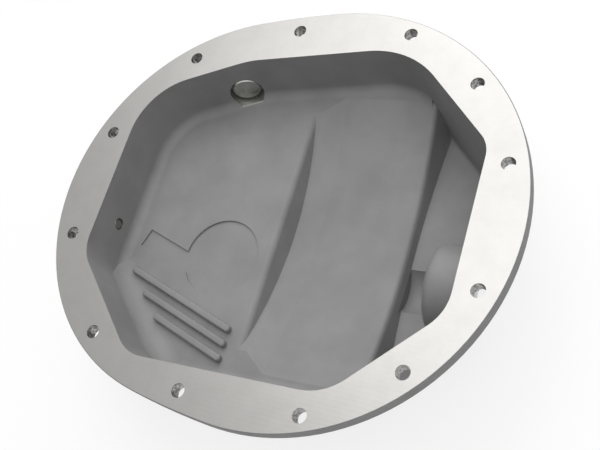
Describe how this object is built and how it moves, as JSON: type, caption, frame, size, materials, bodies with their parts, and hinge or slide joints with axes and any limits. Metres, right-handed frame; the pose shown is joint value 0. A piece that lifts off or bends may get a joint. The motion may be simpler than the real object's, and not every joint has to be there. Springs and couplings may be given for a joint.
{
  "type": "differential cover",
  "caption": "Cast axle differential cover: flat bolted gasket flange around a stepped bowl, with fill, drain and sensor port plugs and cooling fins on the back.",
  "frame": {"origin": "on the gasket face, at the mean place of the twelve bolt holes, on the axle's line", "axes": "+Z out of the cavity's mouth, +X along the axle towards the deeper side, +Y up on the vehicle"},
  "size_m": [0.3418, 0.304, 0.09],
  "materials": {
    "cast_aluminium": "raw sand-cast, machined gasket face",
    "plated_steel": "zinc plated",
    "sealing_washer": "soft copper",
    "magnet": "nickel plated"
  },
  "bodies": {
    "root": {"cover_casting": "cast_aluminium", "fill_plug": "plated_steel", "fill_plug_washer": "sealing_washer", "drain_plug": "plated_steel", "drain_plug_washer": "sealing_washer", "drain_plug_magnet": "magnet", "sensor_port_plug": "plated_steel"}
  },
  "joints": []
}
